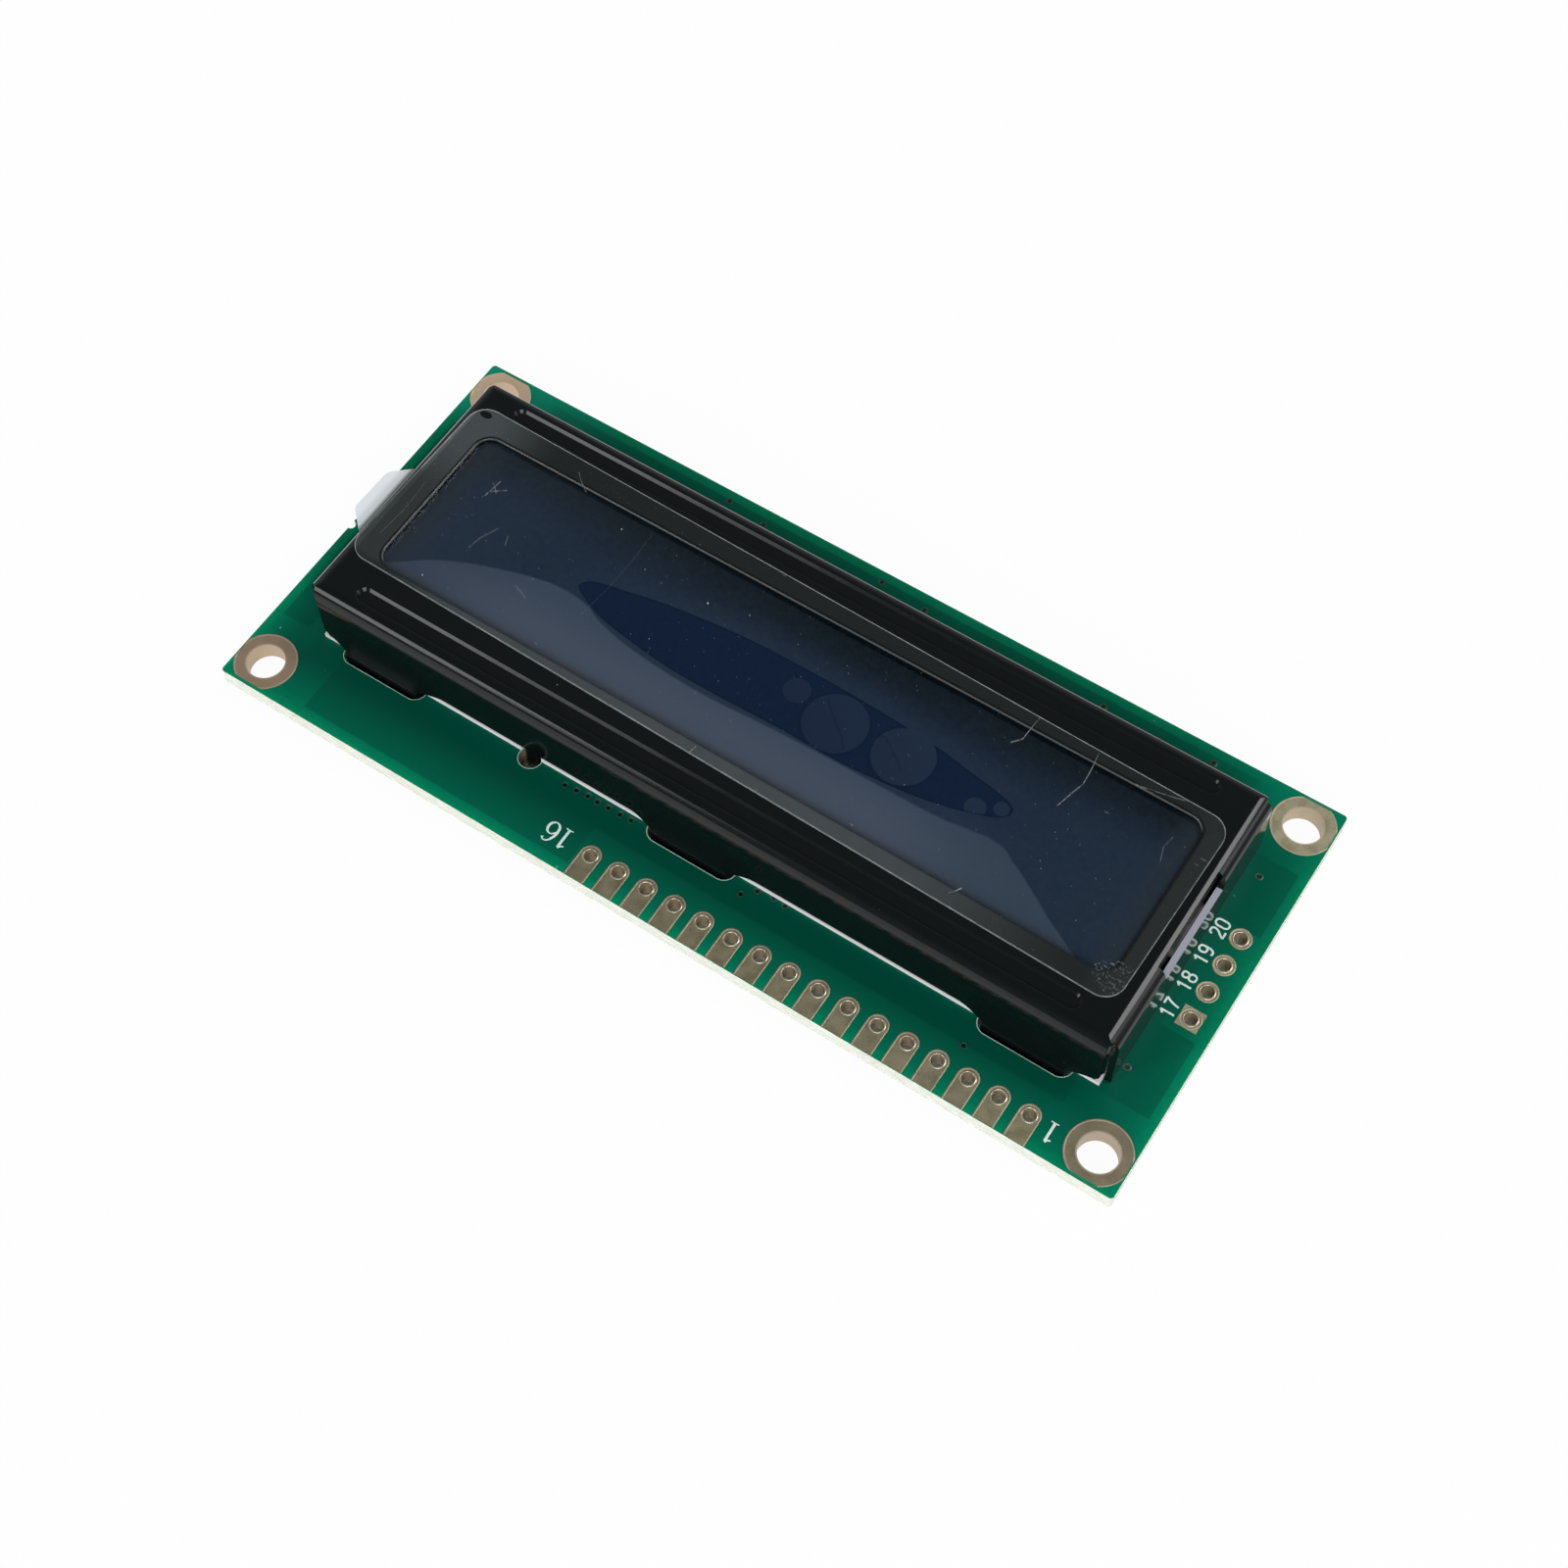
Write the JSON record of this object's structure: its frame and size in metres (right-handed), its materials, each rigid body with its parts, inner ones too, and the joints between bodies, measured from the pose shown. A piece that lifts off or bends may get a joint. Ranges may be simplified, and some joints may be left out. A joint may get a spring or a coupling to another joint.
{
  "type": "character lcd module",
  "caption": "Flat rectangular display module: a pressed black bezel holds a wide dark screen on a green circuit board with corner holes and edge pads.",
  "frame": {"origin": "below the middle of the board, on the surface that the two chip covers on its back rest on", "axes": "+X along the lines of characters, away from pad 1; +Y towards the edge with the sixteen pads; +Z out of the screen"},
  "size_m": [0.08, 0.036, 0.0101],
  "materials": {
    "board_laminate": "glossy green mask over glass-fibre laminate, pale cut edges",
    "bezel_paint": "high-gloss black on pressed steel sheet",
    "tinned_copper": "thin tinned copper, dull and slightly tan",
    "case_plastic": "matt white moulding",
    "white_film": "matt white film",
    "guide_acrylic": "clear acrylic, polished",
    "lamp_board_laminate": "matt white laminate",
    "lamp_resin": "yellow resin over each lamp",
    "tinned_wire": "tinned wire",
    "elastomer": "soft silicone with fine conducting stripes",
    "polariser": "dark smooth film",
    "cell_glass": "thin polished plate",
    "plug_resin": "cured clear resin",
    "clear_film": "clear peelable film, lightly scratched",
    "frosted_film": "frosted film",
    "cover_resin": "black epoxy resin, satin",
    "resistor_body": "black glaze between tinned caps",
    "capacitor_body": "tan ceramic between tinned caps",
    "solder": "bright solder"
  },
  "bodies": {
    "root": {"pcb": "board_laminate", "bezel": "bezel_paint", "mount_ring_front_left": "tinned_copper", "mount_ring_front_right": "tinned_copper", "mount_ring_rear_left": "tinned_copper", "mount_ring_rear_right": "tinned_copper", "header_pad_01": "tinned_copper", "header_pad_02": "tinned_copper", "header_pad_03": "tinned_copper", "header_pad_04": "tinned_copper", "header_pad_05": "tinned_copper", "header_pad_06": "tinned_copper", "header_pad_07": "tinned_copper", "header_pad_08": "tinned_copper", "header_pad_09": "tinned_copper", "header_pad_10": "tinned_copper", "header_pad_11": "tinned_copper", "header_pad_12": "tinned_copper", "header_pad_13": "tinned_copper", "header_pad_14": "tinned_copper", "header_pad_15": "tinned_copper", "header_pad_16": "tinned_copper", "serial_pad_1": "tinned_copper", "serial_pad_2": "tinned_copper", "serial_pad_3": "tinned_copper", "serial_pad_4": "tinned_copper", "backlight_case": "case_plastic", "reflector_film": "white_film", "diffuser_film": "white_film", "light_guide": "guide_acrylic", "lamp_board": "lamp_board_laminate", "backlight_lamps": "lamp_resin", "backlight_lead_1": "tinned_wire", "backlight_lead_2": "tinned_wire", "elastomer_front": "elastomer", "elastomer_rear": "elastomer", "rear_polariser": "polariser", "front_polariser": "polariser", "rear_glass": "cell_glass", "front_glass": "cell_glass", "filling_plug": "plug_resin", "protective_film": "clear_film", "pull_tab": "frosted_film", "chip_cover_left": "cover_resin", "chip_cover_right": "cover_resin", "resistor_1": "resistor_body", "resistor_2": "resistor_body", "resistor_3": "resistor_body", "resistor_4": "resistor_body", "resistor_5": "resistor_body", "resistor_6": "resistor_body", "resistor_7": "resistor_body", "resistor_8": "resistor_body", "capacitor_1": "capacitor_body", "capacitor_2": "capacitor_body", "solder_joints": "solder"}
  },
  "joints": []
}
